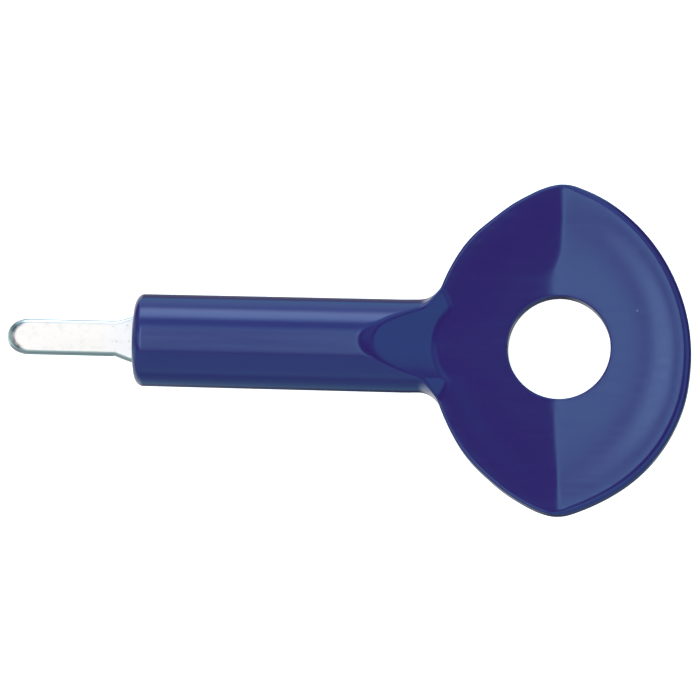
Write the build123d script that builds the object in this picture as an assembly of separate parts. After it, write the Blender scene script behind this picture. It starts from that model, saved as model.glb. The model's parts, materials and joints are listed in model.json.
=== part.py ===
"""A flat-blade key: a steel blade whose tang is moulded into a one-piece plastic grip.

Frame, in millimetres: the origin is the centre of the hanging hole, on the key's mid-plane.
+X runs along the turning axis from the blade towards the end of the bow, and +Z is square to
the flat of the bow. The key is the same above and below its mid-plane.
"""

import os
from math import atan2, degrees, sqrt

from build123d import *

# --- driving dimensions ---------------------------------------------------------------------

# Places along the turning axis
BLADE_TIP_X = -52.1
SHANK_FACE_X = -40.2
SCOOP_START_X = -17.9
NECK_END_X = -11.6
BOW_END_X = 12.5

# Blade, stamped from flat strip
BLADE_THICKNESS = 1.5
BLADE_WIDTH = 3.3
NOSE_RADIUS = 1.7
SHOULDER_X = -41.6
BLADE_EDGE_ROUND = 0.2

# Tang, hidden in the shank
TANG_WIDTH = 5.0
TANG_START_X = -39.5
TANG_END_X = -20.0
TANG_CORNER_ROUND = 0.6
ANCHOR_HOLE_X = -32.0
ANCHOR_HOLE_RADIUS = 1.2
ANCHOR_NOTCH_X = -25.5
ANCHOR_NOTCH_RADIUS = 0.9

# Shank
SHANK_RADIUS_AT_FACE = 4.33
SHANK_RADIUS_AT_NECK = 4.38
SHANK_FACE_ROUND = 1.2
SHANK_END_X = -8.0

# Scoops that thin the shank down to the bow, one above and one below
SCOOP_RADIUS = 11.0
SCOOP_LENGTH = 40.0

# Bow outline: three overlapping discs, with their two points rounded
BOW_BACK_RADIUS = 16.3
BOW_FRONT_RADIUS = 16.6
BOW_FRONT_CENTRE_X = 4.26
BOW_FRONT_CENTRE_Y = 0.32
BOW_POINT_ROUND = 3.5

# Web that spreads the shank into the bow's flanks
WEB_START_X = -17.0
WEB_START_WIDTH = 6.4
WEB_FULL_X = -14.2
WEB_WIDTH = 8.6
WEB_END_X = -9.0
WEB_FILLET = 2.1

# Bow thickness: it thins from the neck to a shallow crease across the hole, then thickens again
BOW_HALF_AT_NECK = 1.85
BOW_HALF_AT_CREASE = 1.25
BOW_HALF_AT_BACK = 1.42
RIM_ROUND = 0.55

HOLE_RADIUS = 4.83

OVERSIZE = 40.0  # longer than any cut has to be


def blade_outline():
    """Plan of the strip: round nose, parallel sides, flared shoulder, square tang."""
    half = BLADE_WIDTH / 2
    nose_x = BLADE_TIP_X + NOSE_RADIUS - sqrt(NOSE_RADIUS**2 - half**2)
    corners = [
        (nose_x, half),
        (SHOULDER_X, half),
        (TANG_START_X, TANG_WIDTH / 2),
        (TANG_END_X, TANG_WIDTH / 2),
    ]
    mirrored = [(x, -y) for x, y in reversed(corners)]
    with BuildSketch() as sketch:
        with BuildLine():
            ThreePointArc((nose_x, -half), (BLADE_TIP_X, 0), (nose_x, half))
            Polyline(*corners, *mirrored)
        make_face()
        fillet(sketch.vertices().group_by(Axis.X)[-1], TANG_CORNER_ROUND)
    return sketch.sketch


def make_blade():
    """Steel strip with rolled edges, and an anchor hole and notches in its tang."""
    blade = extrude(blade_outline(), BLADE_THICKNESS / 2, both=True)
    blade = fillet(blade.faces().filter_by(Plane.XY).edges(), BLADE_EDGE_ROUND)
    blade -= Pos(X=ANCHOR_HOLE_X) * Cylinder(ANCHOR_HOLE_RADIUS, OVERSIZE)
    for side in (-1, 1):
        notch = Cylinder(ANCHOR_NOTCH_RADIUS, OVERSIZE)
        blade -= Pos(ANCHOR_NOTCH_X, side * TANG_WIDTH / 2, 0) * notch
    return blade


def make_scoop(side):
    """Cutter for one scoop: a long round bar laid over the neck, sloping down to the bow."""
    drop = SHANK_RADIUS_AT_NECK - BOW_HALF_AT_NECK
    slope = degrees(atan2(drop, NECK_END_X - SCOOP_START_X))
    bar = Pos(Z=SCOOP_RADIUS) * Rot(Y=90) * Cylinder(SCOOP_RADIUS, SCOOP_LENGTH)
    bar = Pos(SCOOP_START_X, 0, SHANK_RADIUS_AT_NECK) * Rot(Y=slope) * bar
    return bar if side > 0 else mirror(bar, Plane.XY)


def make_shank():
    """Slightly tapered round bar with a rounded front edge, scooped away where it meets the bow."""
    corners = [
        (SHANK_FACE_X, 0),
        (SHANK_END_X, 0),
        (SHANK_END_X, SHANK_RADIUS_AT_NECK),
        (SHANK_FACE_X, SHANK_RADIUS_AT_FACE),
    ]
    half_section = Plane.XZ * Polygon(*corners, align=None)
    shank = revolve(half_section, Axis.X)
    front_edge = shank.edges().filter_by(GeomType.CIRCLE).group_by(Axis.X)[0]
    shank = fillet(front_edge, SHANK_FACE_ROUND)
    return shank - make_scoop(1) - make_scoop(-1)


def bow_outline():
    """Plan of the bow: a pointed oval, its points rounded, spreading from the shank by a web."""
    back_centre_x = BOW_END_X - BOW_BACK_RADIUS
    oval = Pos(X=back_centre_x) * Circle(BOW_BACK_RADIUS)
    for side in (-1, 1):
        oval &= Pos(BOW_FRONT_CENTRE_X, side * BOW_FRONT_CENTRE_Y) * Circle(BOW_FRONT_RADIUS)
    points = oval.vertices().sort_by(Axis.Y)
    oval = fillet([points[0], points[-1]], BOW_POINT_ROUND)
    web_side = [
        (WEB_END_X, WEB_WIDTH / 2),
        (WEB_FULL_X, WEB_WIDTH / 2),
        (WEB_START_X, WEB_START_WIDTH / 2),
    ]
    web = Polygon(*web_side, *[(x, -y) for x, y in reversed(web_side)], align=None)
    joined = oval + web
    inner_corners = [v for v in joined.vertices() if WEB_FULL_X < v.X < WEB_END_X]
    return fillet(inner_corners, WEB_FILLET)


def bow_profile():
    """Side view of the bow's thickness, the same above and below."""
    slope = (BOW_HALF_AT_NECK - BOW_HALF_AT_CREASE) / -NECK_END_X
    top = [
        (WEB_START_X - 1, BOW_HALF_AT_CREASE - slope * (WEB_START_X - 1)),
        (0, BOW_HALF_AT_CREASE),
        (BOW_END_X, BOW_HALF_AT_BACK),
        (BOW_END_X + 1, BOW_HALF_AT_BACK),
    ]
    bottom = [(x, -z) for x, z in reversed(top)]
    return Plane.XZ * Polygon(*top, *bottom, align=None)


def make_bow():
    """Pointed-oval bow with a rounded rim and the hanging hole."""
    bow = extrude(bow_outline(), OVERSIZE / 2, both=True)
    bow &= extrude(bow_profile(), OVERSIZE, both=True)
    rim = [
        edge
        for face in bow.faces()
        if abs(face.normal_at().Z) > 0.9
        for edge in face.edges()
        if abs(edge.center().Y) > 0.01
    ]
    return fillet(rim, RIM_ROUND) - Cylinder(HOLE_RADIUS, OVERSIZE)


def make_grip(blade):
    """The whole moulding: shank and bow in one, with the tang's exact shape left empty."""
    return make_shank() + make_bow() - blade


def main():
    os.makedirs("parts", exist_ok=True)
    blade = make_blade()
    grip = make_grip(blade)
    export_step(blade, "parts/blade.step")
    export_step(grip, "parts/grip.step")


main()
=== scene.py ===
"""Looks of the flat-blade key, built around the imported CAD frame.

The grip and the blade are rebuilt here as dense quad meshes with their soft edges. Lengths in
this file are millimetres in the row frame, and meshes are scaled to metres as they are made.
"""

import json
from math import atan2, cos, degrees, pi, radians, sin, sqrt, tan

import bmesh
import bpy
import numpy as np
from mathutils import Matrix, Vector


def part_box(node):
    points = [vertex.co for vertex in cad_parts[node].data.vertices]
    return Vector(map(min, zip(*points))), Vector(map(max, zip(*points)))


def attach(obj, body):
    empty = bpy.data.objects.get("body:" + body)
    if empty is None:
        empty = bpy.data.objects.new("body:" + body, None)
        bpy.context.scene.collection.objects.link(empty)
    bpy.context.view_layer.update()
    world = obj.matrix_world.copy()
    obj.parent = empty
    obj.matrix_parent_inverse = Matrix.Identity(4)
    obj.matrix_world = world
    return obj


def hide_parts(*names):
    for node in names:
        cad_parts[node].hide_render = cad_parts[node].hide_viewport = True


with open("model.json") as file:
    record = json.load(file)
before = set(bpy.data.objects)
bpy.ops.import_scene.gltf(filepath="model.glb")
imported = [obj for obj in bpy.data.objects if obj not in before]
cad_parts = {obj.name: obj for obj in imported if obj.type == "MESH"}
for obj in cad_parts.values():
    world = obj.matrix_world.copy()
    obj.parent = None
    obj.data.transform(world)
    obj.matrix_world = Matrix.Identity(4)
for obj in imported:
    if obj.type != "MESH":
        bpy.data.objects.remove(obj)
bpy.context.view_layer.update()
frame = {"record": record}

MM = 0.001


def in_mm(corner):
    return Vector(corner) / MM


# --- dimensions -------------------------------------------------------------------------------

GRIP_LOW, GRIP_HIGH = (in_mm(corner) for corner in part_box("grip"))
BLADE_LOW, BLADE_HIGH = (in_mm(corner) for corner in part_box("blade"))
MOUNTS = {mount["name"]: mount for mount in frame["record"]["mounts"]}

# Places along the turning axis
BLADE_TIP_X = BLADE_LOW.x
TANG_END_X = BLADE_HIGH.x
SHANK_FACE_X = GRIP_LOW.x
BOW_END_X = GRIP_HIGH.x
SCOOP_START_X = -17.9
NECK_END_X = -11.6

# Shank, with its moulding draft
SHANK_RADIUS_AT_FACE = 4.35
SHANK_RADIUS_AT_NECK = 4.40
SHANK_FACE_ROUND = 1.0

# Scoops: round out to the hollow's reach, and falling away past it
SCOOP_RADIUS = 11.0
HOLLOW_REACH = 3.4
HOLLOW_FALL = 0.08
SCOOP_BLEND = 0.12

# Thickness of the bow, measured from the mid-plane, and its crease
BOW_HALF_AT_NECK = 1.85
BOW_HALF_AT_CREASE = 1.25
BOW_HALF_AT_BACK = 1.42
CREASE_ROUND = 0.22
VALLEY_SOFTNESS = 0.7

# Lip round the bow. The upper faces join on the axis, and differ fully at the blend distance.
LIP_INSET = 0.8
LIP_WIDTH = 2.5
LIP_ON_AXIS = 0.155
AXIS_BLEND = 4.5

# Bow outline
BACK_RADIUS = 16.3
BACK_CENTRE = Vector((BOW_END_X - BACK_RADIUS, 0))
FRONT_RADIUS = 16.6
FRONT_CENTRE = Vector((4.26, -0.32))
POINT_ROUND = 3.5
WEB_FILLET = 2.1

# Edges
FACE_SETBACK = 0.18
SCOOP_EDGE_ROUND = 0.15
SCOOP_START_ROUND = 0.35
HOLE_EDGE_ROUND = 0.2
HOLE_RADIUS = MOUNTS["hanging_hole"]["dims"]["r_mm"]

# Stretches of the turning axis over which one kind of surface turns into the next
EDGE_SPAN = (-18.0, -16.6)  # the scoop's edge gets sharper
FLAT_SPAN = (-16.0, -11.0)  # the mesh's rows no longer fan out from the axis
WALL_SPAN = (-14.6, -13.3)  # the round sides become the bow's walls
LIP_SPAN = (-14.0, -11.5)  # the lip rises
LID_SPAN = (-13.0, -11.0)  # the scoop's edge becomes the bow's rim
LEAN_SPAN = (-10.6, -13.2)  # the walls lean in, from the bow back towards the shank
RIM_SPAN = (-1.5, 2.0)  # the rim's rounding changes

# What differs between the bow's faces: the crease's place at the hole and at the bow's point and
# where it bends, how wide its valley is near the hole, the lip's height, and the rim's rounding
# on the front half and on the back half
FAR_FACE = {
    "crease": (-0.85, -0.05), "crease_bend": (6.2, 9.6),
    "valley_width": 0.6, "valley_from": 4.0, "valley_to": 7.2,
    "lip": 0.142, "rim_rounds": (0.2, 0.65),
}
NEAR_FACE = {
    "crease": (-0.31, 0.29), "crease_bend": (4.5, 15.0),
    "valley_width": 0.4, "valley_from": 4.0, "valley_to": 5.9,
    "lip": 0.17, "rim_rounds": (0.2, 0.65),
}
UNDERSIDE_FACE = {
    "crease": (0.1, 0.1), "crease_bend": (4.5, 15.0),
    "valley_width": 0.0, "valley_from": 4.0, "valley_to": 6.0,
    "lip": 0.12, "rim_rounds": (0.3, 0.35),
}

# The bow sits a little to one side of its hole, most of all at its back. Its hole and neck don't
# move, and the move grows between two distances from the hole and between two places on the axis.
BOW_OFFSET = 0.15
BACK_OFFSET = 0.43
BACK_SPAN = (3.0, 12.0)
MOVED_RADII = (6.5, 13.0)
MOVED_SPAN = (-11.5, -6.0)

# Small swellings and hollows of the outline: how far they go, where they are, how wide they are
BACK_TRIM, TRIM_SPAN, TRIM_SIDE = 0.1, (8.0, 12.0), (-5.0, -1.0)
FLANK_FULLNESS, FULLNESS_X, FULLNESS_WIDTH = 0.006, -1.8, 1.5
FLANK_HOLLOW, HOLLOW_X, HOLLOW_WIDTH = 0.009, -6.8, 1.6
BOW_NARROWING = 0.003
WEB_SETBACK, WEB_X, WEB_WIDTH, WEB_SIDE = 0.11, -10.8, 1.3, (4.2, 5.5)
SHANK_OFFSET, SHANK_SPAN = 0.075, (-11.5, -15.0)

# Blade
BLADE_HALF = 1.65
BLADE_HALF_THICKNESS = BLADE_HIGH.z
NOSE_RADIUS = 1.7
NOSE_REACH = 0.09
NOSE_CENTRE_X = BLADE_TIP_X + NOSE_RADIUS
SHOULDER_X = -41.9
FAR_FLARE_CURVE, NEAR_FLARE_CURVE = 1.35, 0.9
TANG_START_X = -39.5
TANG_HALF = BLADE_HIGH.y
TANG_CORNER_ROUND = 0.6
BLADE_EDGE_ROUND = 0.42
NOSE_EDGE_ROUND = 0.62
NOSE_EDGE_SPAN = (BLADE_TIP_X + 0.9, BLADE_TIP_X + 2.2)
FLAT_MARGIN = 0.03
SLOT_CLEARANCE = 0.08
SLOT_MOUTH = 0.25

# Colours, and where the small marks are
PLASTIC_DARK = (0.0342, 0.0138, 0.1078, 1)
PLASTIC_LIGHT = (0.0377, 0.0157, 0.123, 1)
PLASTIC_PALE = (0.0445, 0.0227, 0.1415, 1)
PLASTIC_SPECULAR = (0.28, 0.68, 1.0, 1)
# A small nick on the bow, painted pale as a glint on it
NICK_AND_GLINT_PLACE, NICK_AND_GLINT_RADIUS, NICK_AND_GLINT_COLOUR = (7.26, 3.62, 1.45), 0.19, (0.13, 0.115, 0.25, 1)
STEEL_LIGHT = (0.457, 0.479, 0.460, 1)
STEEL_MID = (0.440, 0.465, 0.449, 1)
STEEL_SHADED = (0.414, 0.465, 0.479, 1)
# Darker band round the blade's nose
STEEL_NOSE_BAND = (0.09, 0.10, 0.115, 1)
STEEL_RIM = (0.66, 0.50, 0.50, 1)
# Painted highlight for the blade's far edge and painted shade for its near edge
STEEL_PAINTED_HIGHLIGHT = (0.68, 0.64, 0.59, 1)
STEEL_PAINTED_SHADE = (0.40, 0.27, 0.29, 1)
STEEL_DARK = (0.22, 0.24, 0.265, 1)
STEEL_MARKS = ((-44.95, 1.45, 0.75), (-41.75, -0.35, 0.75), (-40.75, 1.2, 0.75), (-40.55, -0.3, 0.75))
MARK_RADIUS, MARK_STRENGTH = 0.12, 0.65
PAPER_DARK, PAPER_LIGHT = (0.88, 0.88, 0.88, 1), (0.92, 0.92, 0.92, 1)
PAPER_GLOW = 0.9

# Camera: it looks almost straight down, and leans a little towards the back end and the near
# side. The key's axis slopes in the picture. Leans and slope are in degrees.
CAMERA_LENS = 300.0
SENSOR_WIDTH = 36.0
CAMERA_LEAN_X = 4.0
CAMERA_LEAN_Y = 6.3
KEY_SLOPE = 1.33
FRAME_WIDTH = 65.92
FRAME_CENTRE = (-19.69, -0.565, 0.0)

# Studio
WHITE = (1.0, 1.0, 1.0)
PINK = (1.2, 0.96, 1.0)
ROSY = (1.3, 0.93, 1.05)
LILAC = (1.0, 0.65, 1.1)
COOL = (0.3, 0.97, 1.05)
ICE = (0.4, 1.0, 1.05)
TEAL = (0.5, 1.0, 1.02)
BLUE = (0.32, 0.86, 1.12)
DEEP_BLUE = (0.3, 0.5, 1.0)

# Each soft box: level, colour, span of tilt, softness of its two edges, span of swing, softness of
# its two edges
SOFT_BOXES = [
    # room
    (0.06, WHITE, (-200, 200), (1, 1), (-100, 100), (1, 1)),
    # overhead, its brighter middle and front edge, and the cool fringe behind it
    (1.66, WHITE, (-31, 31), (5, 8), (-8.5, 0.0), (4, 1)),
    (1.76, WHITE, (-28, 28), (9, 9), (-3.7, 0.0), (0.4, 1)),
    (4.1, PINK, (-27, 27), (9, 9), (-13, -7.4), (3, 1.3)),
    (1.2, COOL, (-32, 33), (6, 6), (0.7, 2.0), (0.6, 0.4)),
    # far side: a strip, the wall round it, the wall's upper part, and the floor past it
    (3.9, ROSY, (54, 81), (9, 9), (-20, -1.5), (10, 1.5)),
    (1.1, BLUE, (26, 126), (10, 8), (-30, 24), (8, 8)),
    (0.44, LILAC, (83, 109), (7, 12), (-30, 24), (8, 8)),
    (0.2, WHITE, (130, 181), (8, 1), (-60, 60), (10, 10)),
    # near side: the wall, its lower part, and what lies under the back end
    (1.0, TEAL, (-96, -34), (7, 5), (-75, 75), (5, 5)),
    (0.45, COOL, (-150, -97), (12, 7), (-80, 80), (5, 5)),
    (0.14, DEEP_BLUE, (-181, -110), (1, 30), (5, 85), (10, 5)),
    # under the blade end, on the near and the far side
    (1.0, WHITE, (-181, -125), (1, 20), (-80, -9), (10, 6)),
    (1.1, WHITE, (130, 181), (20, 1), (-80, -12), (10, 6)),
    # back end
    (1.27, COOL, (-42, 48), (8, 6), (36, 80), (2, 5)),
    (0.65, COOL, (6, 60), (5, 6), (9, 33), (5, 4)),
    (0.6, COOL, (-60, -17), (6, 4), (6, 33), (5, 4)),
    # blade end
    (0.4, COOL, (0, 95), (10, 8), (-80, -26), (5, 6)),
    (1.7, WHITE, (-20, 16), (8, 8), (-47, -17), (8, 5)),
    (0.7, ICE, (-200, 200), (1, 1), (-100, -62), (1, 8)),
]
BACKDROP_LEVEL = 0.9
FLOOR_REACH = 3.0 / MM

# Density of the grip's mesh: lines along the outline, and rows along each line, of which the
# first ones go round the rim
SHANK_LINES = 120
FRONT_LINES = 110
BACK_LINES = 120
ROWS = 60
SPINE_ROWS = 26
SPINE_INSET = 1.3
FACE_EDGE_STEPS = 12
HOLE_EDGE_STEPS = 8
HALVINGS = 40
LONGEST_RAY = 7.0
STEEPEST_LEAN = 0.95

# Density of the blade's mesh
NOSE_STEPS = 23
SIDE_STEPS = 39
FLARE_STEPS = 12
TANG_STEPS = 29
TANG_CORNER_STEPS = 6
BLADE_EDGE_STEPS = 10
LID_STEPS = 6

# Distances for welding and for telling that two places are the same
WELD = 0.002
SLIVER = 0.0005
TOUCHING = 0.0001
HAIR = 0.000001


# --- small maths ------------------------------------------------------------------------------

def smoothstep(low, high, x):
    t = np.clip((x - low) / (high - low), 0, 1)
    return t * t * (3 - 2 * t)


def mix(a, b, t):
    return a + (b - a) * t


def steps(start, end, count):
    """That many even steps from start to end, without the start itself."""
    return np.linspace(start, end, count + 1)[1:]


def round_max(a, b, radius):
    """Meeting of two distance fields, with its edge rounded."""
    inner = np.minimum(-radius, np.maximum(a, b))
    return inner + np.hypot(np.maximum(a + radius, 0), np.maximum(b + radius, 0))


def hump(x, place, width):
    """1 at a place, falling away to almost nothing over twice the width."""
    return np.exp(-(((x - place) / width) ** 2))


def smooth_max(a, b, width):
    """Greater of two heights, with the valley between them filled over that height."""
    overlap = np.maximum(width - np.abs(a - b), 0) / width
    return np.maximum(a, b) + overlap * overlap * width / 4


def circles_meet(centre_a, radius_a, centre_b, radius_b):
    """Upper crossing of two circles."""
    between = centre_b - centre_a
    gap = between.length
    along = (gap**2 + radius_a**2 - radius_b**2) / (2 * gap)
    across = sqrt(radius_a**2 - along**2)
    unit = between / gap
    found = [centre_a + unit * along + Vector((-unit.y, unit.x)) * side * across for side in (1, -1)]
    return max(found, key=lambda point: point.y)


# --- outline of the grip, seen from above -----------------------------------------------------

def shank_radius(x):
    t = (x - SHANK_FACE_X) / (NECK_END_X - SHANK_FACE_X)
    return mix(SHANK_RADIUS_AT_FACE, SHANK_RADIUS_AT_NECK, np.clip(t, 0, 1))


POINT_CENTRE = circles_meet(
    FRONT_CENTRE, FRONT_RADIUS - POINT_ROUND, BACK_CENTRE, BACK_RADIUS - POINT_ROUND
)
WEB_Y = SHANK_RADIUS_AT_NECK + WEB_FILLET
WEB_CENTRE = Vector((
    FRONT_CENTRE.x - sqrt((FRONT_RADIUS + WEB_FILLET) ** 2 - (WEB_Y - FRONT_CENTRE.y) ** 2),
    WEB_Y,
))


def heading(start, end):
    return atan2(end[1] - start[1], end[0] - start[0])


POINT_START = heading(FRONT_CENTRE, POINT_CENTRE)
POINT_END = heading(BACK_CENTRE, POINT_CENTRE)
WEB_END = heading(WEB_CENTRE, FRONT_CENTRE)


def outline_distance(x, y):
    """Distance outside the grip's outline, negative inside, for y above zero."""
    front = np.hypot(x - FRONT_CENTRE.x, y - FRONT_CENTRE.y) - FRONT_RADIUS
    back = np.hypot(x - BACK_CENTRE.x, y) - BACK_RADIUS
    oval = np.maximum(front, back)
    point = np.hypot(x - POINT_CENTRE.x, y - POINT_CENTRE.y) - POINT_ROUND
    turn = np.arctan2(y - POINT_CENTRE.y, x - POINT_CENTRE.x)
    oval = np.where((turn < POINT_START) & (turn > POINT_END), point, oval)
    web = WEB_FILLET - np.hypot(x - WEB_CENTRE.x, y - WEB_CENTRE.y)
    turn = np.arctan2(y - WEB_CENTRE.y, x - WEB_CENTRE.x)
    bow = np.where((turn < WEB_END) & (turn > -pi / 2), web, oval)
    return np.where(x < WEB_CENTRE.x + HAIR, y - shank_radius(x), bow)


def arc(centre, radius, start, end, count=400):
    turn = np.linspace(start, end, count)
    return np.column_stack([centre[0] + radius * np.cos(turn), centre[1] + radius * np.sin(turn)])


def bow_edge():
    """Upper edge of the bow from the web to the end of the bow, as close points."""
    web = arc(WEB_CENTRE, WEB_FILLET, -pi / 2, WEB_END)
    front = arc(FRONT_CENTRE, FRONT_RADIUS, WEB_END + pi, POINT_START)
    point = arc(POINT_CENTRE, POINT_ROUND, POINT_START, POINT_END)
    back = arc(BACK_CENTRE, BACK_RADIUS, POINT_END, 0)
    return np.vstack([web, front[1:], point[1:], back[1:]])


def spread(path, count):
    """count + 1 points evenly along a path."""
    lengths = np.hypot(*np.diff(path, axis=0).T)
    along = np.concatenate([[0], np.cumsum(lengths)])
    wanted = np.linspace(0, along[-1], count + 1)
    return np.column_stack([np.interp(wanted, along, path[:, axis]) for axis in (0, 1)])


# --- surface of the grip ----------------------------------------------------------------------

SCOOP_SLOPE = atan2(SHANK_RADIUS_AT_NECK - BOW_HALF_AT_NECK, NECK_END_X - SCOOP_START_X)


def band(low, high, soft, y):
    """1 between low and high, falling to 0 over soft at each end."""
    return smoothstep(low - soft, low + soft, y) * smoothstep(high + soft, high - soft, y)


def bow_height(x, y, face):
    """Height of the bow's face: it falls to the crease, then rises, with a low lip round it.

    On the axis the two upper faces are alike, so that they join.
    """
    off_axis = smoothstep(0.0, AXIS_BLEND, y)
    crease_x = off_axis * mix(*face["crease"], smoothstep(*face["crease_bend"], y))
    valley = band(face["valley_from"], face["valley_to"], VALLEY_SOFTNESS, y)
    depth = np.hypot(x - crease_x, CREASE_ROUND + face["valley_width"] * valley)
    front_slope = (BOW_HALF_AT_NECK - BOW_HALF_AT_CREASE) / -NECK_END_X
    back_slope = (BOW_HALF_AT_BACK - BOW_HALF_AT_CREASE) / BOW_END_X
    lean, fold = (back_slope - front_slope) / 2, (back_slope + front_slope) / 2
    height = BOW_HALF_AT_CREASE + lean * (x - crease_x) + fold * depth
    lip = hump(np.maximum(-outline_distance(x, y) - LIP_INSET, 0), 0, LIP_WIDTH)
    return height + mix(LIP_ON_AXIS, face["lip"], off_axis) * lip * smoothstep(*LIP_SPAN, x)


def scoop_height(x, y):
    """Height of the scooped neck, a hollow that slopes from the shank to the bow."""
    reach = np.minimum(y, HOLLOW_REACH)
    hollow = SCOOP_RADIUS - np.sqrt(SCOOP_RADIUS**2 - reach**2)
    hollow = hollow - HOLLOW_FALL * np.maximum(y - HOLLOW_REACH, 0) ** 2
    return SHANK_RADIUS_AT_NECK - tan(SCOOP_SLOPE) * (x - SCOOP_START_X) + hollow / cos(SCOOP_SLOPE)


def grip_field(x, y, z, face):
    """Distance outside the grip, roughly, negative inside, for y and z above zero."""
    radius = shank_radius(x)
    lean = radius - np.sqrt(np.maximum(radius**2 - np.minimum(z, STEEPEST_LEAN * radius) ** 2, 0))
    walls = outline_distance(x, y) + lean * smoothstep(*LEAN_SPAN, x)
    side = mix(np.hypot(y, z) - radius, walls, smoothstep(*WALL_SPAN, x))
    top = smooth_max(scoop_height(x, y), bow_height(x, y, face), SCOOP_BLEND)
    on_bow = smoothstep(*LID_SPAN, x)
    lid = (z - top) * mix(cos(SCOOP_SLOPE), 1.0, on_bow)
    neck_round = mix(SCOOP_START_ROUND, SCOOP_EDGE_ROUND, smoothstep(*EDGE_SPAN, x))
    rim_round = mix(*face["rim_rounds"], smoothstep(*RIM_SPAN, x))
    return round_max(side, lid, mix(neck_round, rim_round, on_bow))


def first_crossing(field, starts, directions, reach):
    """Distance along each ray from inside the solid to its surface, by halving."""
    low = np.zeros(len(starts))
    high = np.full(len(starts), reach)
    for _ in range(HALVINGS):
        middle = (low + high) / 2
        inside = field(*(starts + directions * middle[:, None]).T) < 0
        low = np.where(inside, middle, low)
        high = np.where(inside, high, middle)
    return low


def quarter_lines():
    """Start and end of each line across the upper half of the plan.

    A line runs from the outline in to the turning axis or to the edge of the hole.
    """
    rim = HOLE_RADIUS + HOLE_EDGE_ROUND
    shank_x = np.linspace(SHANK_FACE_X + SHANK_FACE_ROUND, WEB_CENTRE.x, SHANK_LINES + 1)[:-1]
    shank_outer = np.column_stack([shank_x, shank_radius(shank_x)])
    shank_inner = np.column_stack([shank_x, np.zeros(SHANK_LINES)])
    edge = bow_edge()
    split = np.searchsorted(edge[:, 0], 0.0)
    around = edge[split - 1 : split + 1]
    middle = np.array([[0.0, np.interp(0.0, around[:, 0], around[:, 1])]])
    front_outer = spread(np.vstack([edge[:split], middle]), FRONT_LINES)[:-1]
    back_outer = spread(np.vstack([middle, edge[split:]]), BACK_LINES)
    front_path = np.vstack([[[WEB_CENTRE.x, 0.0]], arc((0, 0), rim, pi, pi / 2)])
    front_inner = spread(front_path, FRONT_LINES)[:-1]
    back_inner = spread(arc((0, 0), rim, pi / 2, 0), BACK_LINES)
    outer = np.vstack([shank_outer, front_outer, back_outer])
    inner = np.vstack([shank_inner, front_inner, back_inner])
    return outer, inner


def upper_quarter(face):
    """Grid of points over the quarter with y and z above zero: one row per line, silhouette first.

    On the shank the points of a line fan out from the axis. On the bow they fan round a spine just
    inside the rim, and then stand over the rest of the line.
    """
    outer, inner = quarter_lines()
    span = np.hypot(*(inner - outer).T)[:, None]
    unit = (inner - outer) / span
    row = np.arange(ROWS + 1)
    inward = np.maximum(row - SPINE_ROWS, 0) / (ROWS - SPINE_ROWS)
    flat = smoothstep(*FLAT_SPAN, outer[:, :1])
    base = mix(span, SPINE_INSET + (span - SPINE_INSET) * inward, flat)
    turn = mix(row / ROWS, np.minimum(row / SPINE_ROWS, 1), flat) * pi / 2
    starts = np.zeros((len(span), ROWS + 1, 3))
    starts[..., :2] = outer[:, None, :] + unit[:, None, :] * base[..., None]
    directions = np.zeros_like(starts)
    directions[..., :2] = -unit[:, None, :] * np.cos(turn)[..., None]
    directions[..., 2] = np.sin(turn)
    starts, directions = starts.reshape(-1, 3), directions.reshape(-1, 3)
    reach = first_crossing(lambda x, y, z: grip_field(x, y, z, face), starts, directions, LONGEST_RAY)
    points = (starts + directions * reach[:, None]).reshape(len(span), ROWS + 1, 3)
    points[:, 0, 2] = 0
    return points


def hole_quarter(top_edge):
    """Rounded edge and wall of the hole, going down from the face's inner edge to the mid-plane."""
    across = np.hypot(top_edge[:, 0], top_edge[:, 1])
    unit = top_edge[:, :2] / across[:, None]
    rows = [top_edge]
    for turn in steps(0, pi / 2, HOLE_EDGE_STEPS):
        ring = top_edge.copy()
        ring[:, :2] = unit * (HOLE_RADIUS + HOLE_EDGE_ROUND * (1 - sin(turn)))
        ring[:, 2] = top_edge[:, 2] - HOLE_EDGE_ROUND * (1 - cos(turn))
        rows.append(ring)
    for share in (0.66, 0.33, 0.0):
        ring = rows[HOLE_EDGE_STEPS].copy()
        ring[:, 2] *= share
        rows.append(ring)
    return np.stack(rows, axis=1)


def slot_field(half_width):
    """Field of the blade's section, a rectangle with rolled corners, for rays in a YZ plane."""
    def field(x, y, z):
        a = np.abs(y) - (half_width + SLOT_CLEARANCE - BLADE_EDGE_ROUND)
        b = np.abs(z) - (BLADE_HALF_THICKNESS + SLOT_CLEARANCE - BLADE_EDGE_ROUND)
        outside = np.hypot(np.maximum(a, 0), np.maximum(b, 0))
        return outside + np.minimum(np.maximum(a, b), 0) - BLADE_EDGE_ROUND
    return field


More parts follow.
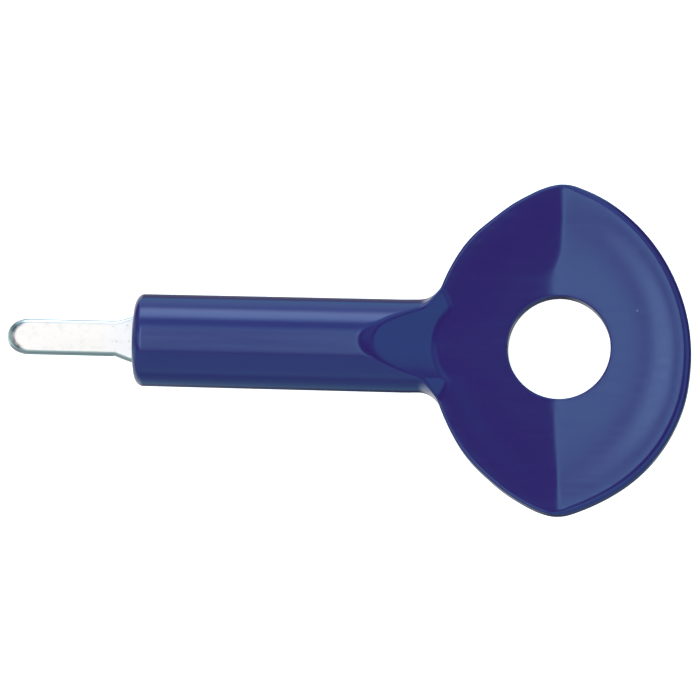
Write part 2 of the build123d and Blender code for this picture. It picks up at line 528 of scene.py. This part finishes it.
def front_quarter(first_ring):
    """Rounded front edge, flat face and the slot that holds the tang, from the shank's first ring."""
    face_x = SHANK_FACE_X + FACE_SETBACK
    centre = first_ring * [1, 0, 0]
    rays = first_ring - centre
    radius = np.linalg.norm(rays, axis=1)
    rays /= radius[:, None]
    rings = [first_ring]
    for turn in steps(0, pi / 2, FACE_EDGE_STEPS):
        ring = centre + rays * (radius - SHANK_FACE_ROUND * (1 - cos(turn)))[:, None]
        ring[:, 0] = face_x + (SHANK_FACE_ROUND - FACE_SETBACK) * (1 - sin(turn))
        rings.append(ring)
    face_edge = rings[-1]
    flare = (SHANK_FACE_X - SHOULDER_X) / (TANG_START_X - SHOULDER_X)
    stations = [
        (face_x, mix(BLADE_HALF, TANG_HALF, flare) + SLOT_MOUTH),
        (TANG_START_X, TANG_HALF),
        (TANG_END_X - TANG_CORNER_ROUND, TANG_HALF),
        (TANG_END_X, TANG_HALF - TANG_CORNER_ROUND),
    ]
    for x, half_width in stations:
        start = centre * 0 + [x, 0, 0]
        reach = first_crossing(slot_field(half_width), start, rays, LONGEST_RAY)
        slot = start + rays * reach[:, None]
        if x == face_x:
            rings += [mix(face_edge, slot, share) for share in (0.34, 0.67)]
        rings.append(slot)
    rings.append(centre * 0 + [TANG_END_X, 0, 0])
    return np.stack(rings)


# --- meshes -----------------------------------------------------------------------------------

def add_grid(verts, faces, grid, flip):
    """Adds a grid of points to the lists as quads."""
    first = len(verts)
    lines, rows = grid.shape[:2]
    verts.extend(grid.reshape(-1, 3).tolist())
    for i in range(lines - 1):
        for j in range(rows - 1):
            a = first + i * rows + j
            quad = [a, a + 1, a + rows + 1, a + rows]
            faces.append(quad[::-1] if flip else quad)


def finish_mesh(name, verts, faces, sharp_above=50):
    """Makes the object in metres, welds its seams and shades it smooth between its sharp edges."""
    mesh = bpy.data.meshes.new(name)
    mesh.from_pydata([[value * MM for value in vert] for vert in verts], [], faces)
    bm = bmesh.new()
    bm.from_mesh(mesh)
    bmesh.ops.remove_doubles(bm, verts=bm.verts, dist=WELD * MM)
    bmesh.ops.dissolve_degenerate(bm, edges=bm.edges, dist=SLIVER * MM)
    bmesh.ops.recalc_face_normals(bm, faces=bm.faces)
    bm.to_mesh(mesh)
    bm.free()
    mesh.shade_smooth()
    mesh.set_sharp_from_angle(angle=radians(sharp_above))
    obj = bpy.data.objects.new(name, mesh)
    bpy.context.scene.collection.objects.link(obj)
    return obj


def settle(points):
    """Moves the bow's edge and the shank to one side, and adds the outline's small swellings."""
    x, y, z = points.T
    share = smoothstep(*MOVED_RADII, np.hypot(x, y)) * smoothstep(*MOVED_SPAN, x)
    offset = BOW_OFFSET + BACK_OFFSET * smoothstep(*BACK_SPAN, x)
    trim = BACK_TRIM * smoothstep(*TRIM_SPAN, x) * smoothstep(*TRIM_SIDE, y)
    bulge = FLANK_FULLNESS * hump(x, FULLNESS_X, FULLNESS_WIDTH)
    bulge -= FLANK_HOLLOW * hump(x, HOLLOW_X, HOLLOW_WIDTH) + BOW_NARROWING
    web = WEB_SETBACK * hump(x, WEB_X, WEB_WIDTH) * smoothstep(*WEB_SIDE, np.abs(y))
    shank = SHANK_OFFSET * smoothstep(*SHANK_SPAN, x)
    return np.column_stack([x - trim + web, y * (1 + bulge * share) - offset * share - shank, z])


def make_grip():
    """The whole moulding, in four quarters with their seams welded."""
    verts, faces = [], []
    for side_y, side_z, face in (
        (1, 1, FAR_FACE), (-1, 1, NEAR_FACE), (1, -1, UNDERSIDE_FACE), (-1, -1, UNDERSIDE_FACE),
    ):
        skin = upper_quarter(face)
        inner_edge = skin[:, -1]
        from_hole = np.hypot(inner_edge[:, 0], inner_edge[:, 1]) - HOLE_RADIUS - HOLE_EDGE_ROUND
        hole = hole_quarter(inner_edge[np.abs(from_hole) < TOUCHING])
        front = front_quarter(skin[0])
        flip = side_y * side_z < 0
        sides = np.array([1, side_y, side_z])
        add_grid(verts, faces, skin * sides, flip)
        add_grid(verts, faces, hole * sides, flip)
        add_grid(verts, faces, front * sides, not flip)
    return finish_mesh("moulded_grip", settle(np.array(verts)).tolist(), faces)


def blade_half_outline(flare_curve):
    """Half outline from the nose to the tang's end, as rows of x and half width."""
    rows = [
        (NOSE_CENTRE_X + (NOSE_RADIUS + NOSE_REACH) * cos(turn), BLADE_HALF * sin(turn))
        for turn in np.linspace(pi, pi / 2, NOSE_STEPS + 1)
    ]
    rows += [(x, BLADE_HALF) for x in steps(NOSE_CENTRE_X, SHOULDER_X, SIDE_STEPS)]
    for share in steps(0, 1, FLARE_STEPS):
        half_width = mix(BLADE_HALF, TANG_HALF, share**flare_curve)
        rows.append((mix(SHOULDER_X, TANG_START_X, share), half_width))
    corner_x, corner_y = TANG_END_X - TANG_CORNER_ROUND, TANG_HALF - TANG_CORNER_ROUND
    rows += [(x, TANG_HALF) for x in steps(TANG_START_X, corner_x, TANG_STEPS)]
    for turn in steps(pi / 2, 0, TANG_CORNER_STEPS):
        rows.append((corner_x + TANG_CORNER_ROUND * cos(turn), corner_y + TANG_CORNER_ROUND * sin(turn)))
    rows.append((TANG_END_X, 0.0))
    return np.array(rows)


def inset(path, amount):
    """Closed path moved inwards, each point by its own amount."""
    ahead, behind = np.roll(path, -1, axis=0), np.roll(path, 1, axis=0)
    along = ahead - behind
    along /= np.linalg.norm(along, axis=1)[:, None]
    inward = np.column_stack([along[:, 1], -along[:, 0]])
    return path + inward * amount[:, None]


def make_blade():
    """Flat strip with rolled edges, its nose eased more than its sides."""
    upper = blade_half_outline(FAR_FLARE_CURVE)
    lower = blade_half_outline(NEAR_FLARE_CURVE) * [1, -1]
    path = np.vstack([upper, lower[-2:0:-1]])
    count, half = len(path), len(upper)
    ease = mix(NOSE_EDGE_ROUND, BLADE_EDGE_ROUND, smoothstep(*NOSE_EDGE_SPAN, path[:, 0]))
    flat_ring = inset(path, ease + FLAT_MARGIN)
    flat_height = np.full(count, BLADE_HALF_THICKNESS)
    edge = [
        (inset(path, ease * (1 - cos(turn))), BLADE_HALF_THICKNESS - ease * (1 - sin(turn)))
        for turn in np.linspace(0, pi / 2, BLADE_EDGE_STEPS + 1)
    ]
    upper_edge = [(flat_ring, flat_height)] + edge[::-1]
    lower_edge = [(plan, -height) for plan, height in reversed(upper_edge)]
    rings = np.stack([np.column_stack([plan, height]) for plan, height in upper_edge + lower_edge])
    rings = np.concatenate([rings, rings[:, :1]], axis=1)
    verts, faces = [], []
    add_grid(verts, faces, rings, False)
    far_side, near_side = np.arange(half), np.arange(count, half - 2, -1) % count
    for ring in (rings[0], rings[-1]):
        shares = np.linspace(0, 1, LID_STEPS + 1)
        lid = [mix(ring[far_side], ring[near_side], share) for share in shares]
        add_grid(verts, faces, np.stack(lid), False)
    return finish_mesh("steel_blade", verts, faces, sharp_above=40)


# --- materials --------------------------------------------------------------------------------

def new_material(name):
    material = bpy.data.materials.new(name)
    material.use_nodes = True
    material.node_tree.nodes.clear()
    shader = add_node(material, "ShaderNodeBsdfPrincipled")
    add_node(material, "ShaderNodeOutputMaterial", {"Surface": shader.outputs["BSDF"]})
    return material, shader


def add_node(owner, kind, inputs=None, **settings):
    """Node of a material or a world, with each input set to a value or linked to a socket."""
    node = owner.node_tree.nodes.new(kind)
    for key, value in settings.items():
        setattr(node, key, value)
    for key, value in (inputs or {}).items():
        if isinstance(value, bpy.types.NodeSocket):
            owner.node_tree.links.new(value, node.inputs[key])
        else:
            node.inputs[key].default_value = value
    return node


def maths(owner, operation, a, b=0.0):
    return add_node(owner, "ShaderNodeMath", {0: a, 1: b}, operation=operation).outputs[0]


def remap(owner, value, low, high, to_low=0.0, to_high=1.0):
    """Value taken smoothly from one range to another, and held at its ends."""
    node = add_node(owner, "ShaderNodeMapRange", {
        "Value": value, "From Min": low, "From Max": high, "To Min": to_low, "To Max": to_high,
    }, interpolation_type="SMOOTHSTEP")
    return node.outputs["Result"]


def blend(material, factor, a, b):
    return add_node(material, "ShaderNodeMix", {0: factor, 6: a, 7: b}, data_type="RGBA").outputs[2]


def distance_from(material, place, centre):
    """Distance in metres of each point from a centre given in millimetres."""
    inputs = {0: place, 1: tuple(Vector(centre) * MM)}
    return add_node(material, "ShaderNodeVectorMath", inputs, operation="DISTANCE").outputs["Value"]


def spot(material, place, centre, radius):
    """1 inside a small round spot and 0 outside, with a soft edge. Lengths are in millimetres."""
    return remap(material, distance_from(material, place, centre), radius * MM, radius * 0.4 * MM)


def spread_noise(material, place, scale, detail, stretch=(1, 1, 1)):
    """Noise of a scale per metre, drawn out along an axis where its stretch is below 1."""
    scaled = add_node(material, "ShaderNodeVectorMath", {0: place, 1: stretch}, operation="MULTIPLY")
    noise = add_node(material, "ShaderNodeTexNoise", {
        "Vector": scaled.outputs["Vector"], "Scale": scale, "Detail": detail,
    })
    return noise.outputs["Fac"]


def bump_up(material, layers):
    """Stacks bumps; each layer is a height, how far it stands out in metres, and its strength."""
    normal = None
    for height, distance, strength in layers:
        inputs = {"Height": height, "Distance": distance, "Strength": strength}
        if normal is not None:
            inputs["Normal"] = normal
        normal = add_node(material, "ShaderNodeBump", inputs).outputs["Normal"]
    return normal


def plastic_look():
    """Glossy moulded plastic: faint colour swirl, orange peel, handling marks and one nick, which is
    painted pale as a glint on it.
    """
    material, shader = new_material("blue_gloss_plastic")
    link = material.node_tree.links.new
    place = add_node(material, "ShaderNodeTexCoord").outputs["Object"]
    swirl = spread_noise(material, place, scale=240.0, detail=3.0)
    grain = spread_noise(material, place, scale=2600.0, detail=2.0)
    orange_peel = spread_noise(material, place, scale=900.0, detail=2.0)
    streaks = spread_noise(material, place, scale=2200.0, detail=3.0, stretch=(0.05, 1, 1))
    nick_and_glint = spot(material, place, NICK_AND_GLINT_PLACE, NICK_AND_GLINT_RADIUS)
    colour = blend(material, swirl, PLASTIC_DARK, PLASTIC_LIGHT)
    colour = blend(material, remap(material, grain, 0.55, 0.8, 0.0, 0.25), colour, PLASTIC_PALE)
    # The nick is painted pale, as a glint on it
    colour = blend(material, nick_and_glint, colour, NICK_AND_GLINT_COLOUR)
    link(colour, shader.inputs["Base Color"])
    gloss = remap(material, streaks, 0.35, 0.75, 0.10, 0.15)
    rough = maths(material, "ADD", gloss, maths(material, "MULTIPLY", nick_and_glint, 0.4))
    link(rough, shader.inputs["Roughness"])
    shader.inputs["IOR"].default_value = 1.5
    shader.inputs["Specular Tint"].default_value = PLASTIC_SPECULAR
    normal = bump_up(material, (
        (orange_peel, 0.0000020, 0.5), (streaks, 0.0000008, 0.5), (grain, 0.0000006, 0.5),
    ))
    link(normal, shader.inputs["Normal"])
    return material


def steel_look():
    """Bright strip steel: rolling lines, fine pits and a darker band round the nose, with painted
    shade on the near edge and a painted highlight on the far edge.
    """
    material, shader = new_material("bright_plated_steel")
    link = material.node_tree.links.new
    texture = add_node(material, "ShaderNodeTexCoord")
    place = texture.outputs["Object"]
    along = add_node(material, "ShaderNodeSeparateXYZ", {0: place}).outputs["X"]
    facing = add_node(material, "ShaderNodeSeparateXYZ", {0: texture.outputs["Normal"]}).outputs["Y"]
    rolling = spread_noise(material, place, scale=2500.0, detail=3.0, stretch=(0.04, 1, 1))
    mottle = spread_noise(material, place, scale=1500.0, detail=4.0)
    pits = spread_noise(material, place, scale=1150.0, detail=1.0)

    def part(value, start, end):
        """0 at the start and 1 at the end, both in millimetres."""
        return remap(material, value, start * MM, end * MM)

    def both(a, b):
        return maths(material, "MULTIPLY", a, b)

    near_grip = part(along, SHOULDER_X - 2.0, SHANK_FACE_X)
    colour = blend(material, rolling, STEEL_LIGHT, STEEL_MID)
    colour = blend(material, both(near_grip, 0.8), colour, STEEL_SHADED)
    colour = blend(material, remap(material, mottle, 0.52, 0.72, 0.0, 0.16), colour, STEEL_DARK)

    # A darker band round the nose, patchy with the mottle, and a lighter rim outside it
    from_nose = distance_from(material, place, (NOSE_CENTRE_X, 0, BLADE_HALF_THICKNESS))
    front_part = part(along, NOSE_CENTRE_X, NOSE_CENTRE_X - 0.7)
    nose_band = both(both(part(from_nose, 0.88, 1.13), part(from_nose, 1.47, 1.27)), front_part)
    patchy_nose_band = both(nose_band, remap(material, mottle, 0.35, 0.60, 0.7, 1.0))
    colour = blend(material, patchy_nose_band, colour, STEEL_NOSE_BAND)
    colour = blend(material, both(front_part, part(from_nose, 1.42, 1.58)), colour, STEEL_RIM)
    colour = blend(material, remap(material, pits, 0.76, 0.82, 0.0, 0.8), colour, STEEL_DARK)

    # Painted highlight along the far edge and painted shade along the near edge
    behind_nose = part(along, NOSE_CENTRE_X - 0.3, NOSE_CENTRE_X + 0.5)
    far_edge_highlight = both(behind_nose, remap(material, facing, 0.1, 0.35))
    near_edge_shade = both(remap(material, facing, -0.38, -0.56), remap(material, facing, -0.95, -0.84))
    colour = blend(material, far_edge_highlight, colour, STEEL_PAINTED_HIGHLIGHT)
    colour = blend(material, near_edge_shade, colour, STEEL_PAINTED_SHADE)
    for centre in STEEL_MARKS:
        mark = both(spot(material, place, centre, MARK_RADIUS), MARK_STRENGTH)
        colour = blend(material, mark, colour, STEEL_DARK)
    link(colour, shader.inputs["Base Color"])

    shader.inputs["Metallic"].default_value = 1.0
    link(remap(material, rolling, 0.3, 0.7, 0.285, 0.305), shader.inputs["Roughness"])
    normal = bump_up(material, ((rolling, 0.0000005, 0.3), (mottle, 0.000002, 0.4)))
    link(normal, shader.inputs["Normal"])
    return material


def floor_look():
    """White studio paper with a trace of grain."""
    material, shader = new_material("white_paper")
    link = material.node_tree.links.new
    place = add_node(material, "ShaderNodeTexCoord").outputs["Object"]
    grain = spread_noise(material, place, scale=900.0, detail=3.0)
    link(blend(material, grain, PAPER_DARK, PAPER_LIGHT), shader.inputs["Base Color"])
    link(remap(material, grain, 0.3, 0.7, 0.75, 0.85), shader.inputs["Roughness"])
    shader.inputs["Emission Color"].default_value = (*WHITE, 1)
    shader.inputs["Emission Strength"].default_value = PAPER_GLOW
    return material


def dress(obj, material):
    obj.data.materials.clear()
    obj.data.materials.append(material)


# --- stage ------------------------------------------------------------------------------------

def make_floor():
    mesh = bpy.data.meshes.new("floor")
    corners = [
        Vector((side_x * FLOOR_REACH, side_y * FLOOR_REACH, GRIP_LOW.z)) * MM
        for side_x, side_y in ((-1, -1), (1, -1), (1, 1), (-1, 1))
    ]
    mesh.from_pydata(corners, [], [(0, 1, 2, 3)])
    floor = bpy.data.objects.new("floor", mesh)
    bpy.context.scene.collection.objects.link(floor)
    floor.visible_glossy = False
    floor.visible_diffuse = False
    dress(floor, floor_look())


def inside(world, angle, span, softness):
    """1 where an angle is within a span, falling to 0 past each end over that end's softness."""
    above = remap(world, angle, span[0] - softness[0], span[0] + softness[0])
    below = remap(world, angle, span[1] + softness[1], span[1] - softness[1])
    return maths(world, "MULTIPLY", above, below)


def make_studio():
    """Soft boxes round the key, as a world, in front of a plain pale backdrop.

    Each box has a span of tilt, from straight up towards +Y, and a span of swing towards +X. Both
    are in degrees. Only the camera sees the backdrop, and only the key sees the boxes.
    """
    world = bpy.data.worlds.new("studio")
    world.use_nodes = True
    world.node_tree.nodes.clear()
    direction = add_node(world, "ShaderNodeTexCoord").outputs["Generated"]
    parts = add_node(world, "ShaderNodeSeparateXYZ", {0: direction}).outputs
    tilt = maths(world, "MULTIPLY", maths(world, "ARCTAN2", parts["Y"], parts["Z"]), degrees(1))
    swing = maths(world, "MULTIPLY", maths(world, "ARCSINE", parts["X"]), degrees(1))

    studio = None
    for level, colour, tilt_span, tilt_softness, swing_span, swing_softness in SOFT_BOXES:
        strength = maths(world, "MULTIPLY", level, inside(world, tilt, tilt_span, tilt_softness))
        strength = maths(world, "MULTIPLY", strength, inside(world, swing, swing_span, swing_softness))
        inputs = {"Color": (*colour, 1), "Strength": strength}
        glow = add_node(world, "ShaderNodeBackground", inputs).outputs["Background"]
        if studio is not None:
            glow = add_node(world, "ShaderNodeAddShader", {0: studio, 1: glow}).outputs["Shader"]
        studio = glow

    inputs = {"Color": (*WHITE, 1), "Strength": BACKDROP_LEVEL}
    backdrop = add_node(world, "ShaderNodeBackground", inputs).outputs["Background"]
    seen = add_node(world, "ShaderNodeLightPath").outputs["Is Camera Ray"]
    choice = add_node(world, "ShaderNodeMixShader", {0: seen, 1: studio, 2: backdrop})
    add_node(world, "ShaderNodeOutputWorld", {"Surface": choice.outputs["Shader"]})
    bpy.context.scene.world = world


def make_camera():
    camera_data = bpy.data.cameras.new("camera")
    camera_data.lens = CAMERA_LENS
    camera_data.sensor_width = SENSOR_WIDTH
    camera_data.clip_start, camera_data.clip_end = 0.01, 20.0
    camera = bpy.data.objects.new("camera", camera_data)
    bpy.context.scene.collection.objects.link(camera)
    back = Vector((sin(radians(CAMERA_LEAN_X)), -sin(radians(CAMERA_LEAN_Y)), 0))
    back.z = sqrt(1 - back.length_squared)
    right = (Vector((1, 0, 0)) - back * back.x).normalized()
    level = Matrix((right, back.cross(right), back)).transposed()
    turned = level @ Matrix.Rotation(radians(KEY_SLOPE), 3, "Z")
    camera.location = Vector(FRAME_CENTRE) * MM + back * FRAME_WIDTH * MM * CAMERA_LENS / SENSOR_WIDTH
    camera.rotation_euler = turned.to_euler()
    bpy.context.scene.camera = camera


def main():
    grip = make_grip()
    dress(grip, plastic_look())
    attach(grip, "root")
    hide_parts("grip")
    blade = make_blade()
    dress(blade, steel_look())
    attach(blade, "root")
    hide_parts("blade")
    make_floor()
    make_studio()
    make_camera()
    bpy.context.scene.view_settings.view_transform = "Standard"


main()
